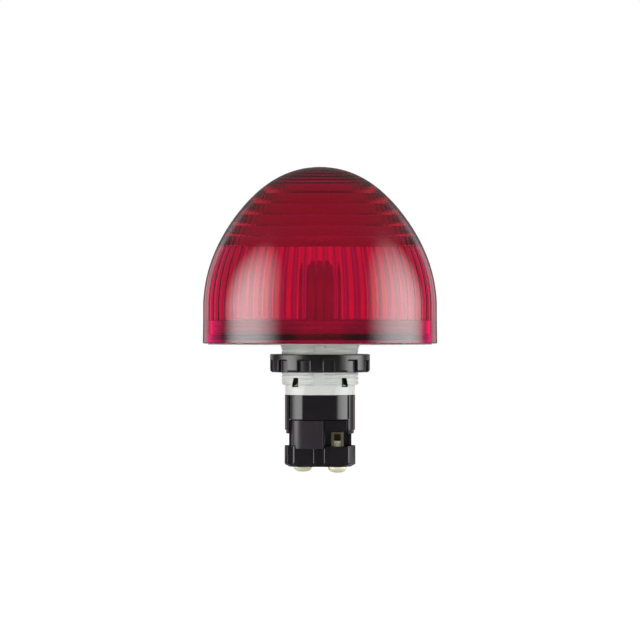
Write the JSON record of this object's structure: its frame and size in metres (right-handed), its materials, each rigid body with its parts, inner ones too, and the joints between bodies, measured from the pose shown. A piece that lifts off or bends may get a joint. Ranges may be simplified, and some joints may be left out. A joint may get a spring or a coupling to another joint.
{
  "type": "panel pilot light",
  "caption": "Jumbo red dome pilot light for a round panel hole, with a threaded sleeve and lock ring, a bayonet lamp inside and cage clamp wire terminals behind.",
  "frame": {"origin": "centre of the gasket's underside, where the part seats on the panel", "axes": "+Z out of the panel along the lamp axis, towards the dome; -Y towards the viewer of the picture, +X to the right there"},
  "size_m": [0.066, 0.066, 0.086],
  "materials": {
    "dome_red": "clear red moulded plastic, polished outside, fluted inside",
    "seal_rubber": "matt black rubber",
    "housing_grey": "light grey moulded plastic",
    "gasket_rubber": "pale grey rubber",
    "ring_black": "black moulded plastic, slight sheen",
    "body_black": "black moulded plastic, satin",
    "guard_black": "black moulded plastic, smooth satin",
    "terminal_brass": "stamped brass",
    "cage_brass": "plated brass, slightly dull",
    "screw_plated": "pale yellow passivated steel",
    "socket_plastic": "black moulded plastic",
    "socket_metal": "plated brass",
    "spring_steel": "bright spring wire",
    "lamp_metal": "nickel plated brass",
    "lamp_insulation": "black insulating plug",
    "lamp_solder": "dull solder",
    "lamp_clear": "clear moulded plastic",
    "board_green": "coated circuit board",
    "chip_yellow": "pale yellow light-emitting chips"
  },
  "bodies": {
    "root": {"threaded_housing": "housing_grey", "panel_gasket": "gasket_rubber", "dome_seal": "seal_rubber", "latch_collar": "body_black", "terminal_base": "body_black", "finger_guard_front": "guard_black", "finger_guard_rear": "guard_black", "terminal_plate_front": "terminal_brass", "terminal_plate_rear": "terminal_brass", "socket_body": "socket_plastic", "socket_shell": "socket_metal", "contact_spring": "spring_steel"},
    "dome": {"dome_lens": "dome_red"},
    "nut": {"lock_ring": "ring_black"},
    "lamp": {"lamp_cap": "lamp_metal", "lamp_insulator": "lamp_insulation", "lamp_tip": "lamp_solder", "lamp_envelope": "lamp_clear", "led_board": "board_green", "led_chips": "chip_yellow"},
    "contact": {"centre_contact": "terminal_brass"},
    "screw_front": {"clamp_screw_front": "screw_plated"},
    "screw_rear": {"clamp_screw_rear": "screw_plated"},
    "cage_front": {"clamp_cage_front": "cage_brass"},
    "cage_rear": {"clamp_cage_rear": "cage_brass"}
  },
  "joints": [
    {"name": "dome_slide", "type": "slide", "parent": "root", "child": "dome", "axis": [0, 0, 1], "range_m": [0, 0.05]},
    {"name": "lock_ring_slide", "type": "slide", "parent": "root", "child": "nut", "axis": [0, 0, -1], "range_m": [-0.0019, 0.036]},
    {"name": "lamp_slide", "type": "slide", "parent": "root", "child": "lamp", "axis": [0, 0, 1], "range_m": [0, 0.012]},
    {"name": "contact_slide", "type": "slide", "parent": "root", "child": "contact", "axis": [0, 0, -1], "range_m": [0, 0.001], "stiffness_N_per_m": 300, "springref_m": -0.0005, "deforming": ["contact_spring"]},
    {"name": "screw_front_turn", "type": "hinge", "parent": "root", "child": "screw_front", "pos_m": [0.00485, -0.004, -0.0343], "axis": [0, 0, 1], "range_deg": [0, 1360]},
    {"name": "screw_rear_turn", "type": "hinge", "parent": "root", "child": "screw_rear", "pos_m": [-0.00485, 0.004, -0.0343], "axis": [0, 0, 1], "range_deg": [0, 1360]},
    {"name": "cage_front_slide", "type": "slide", "parent": "root", "child": "cage_front", "axis": [0, 0, -1], "range_m": [0, 0.0017]},
    {"name": "cage_rear_slide", "type": "slide", "parent": "root", "child": "cage_rear", "axis": [0, 0, -1], "range_m": [0, 0.0017]}
  ],
  "couplings": [
    {"joint": "screw_front_turn", "follows": "cage_front_slide", "rad_per_m": 13963},
    {"joint": "screw_rear_turn", "follows": "cage_rear_slide", "rad_per_m": 13963}
  ]
}
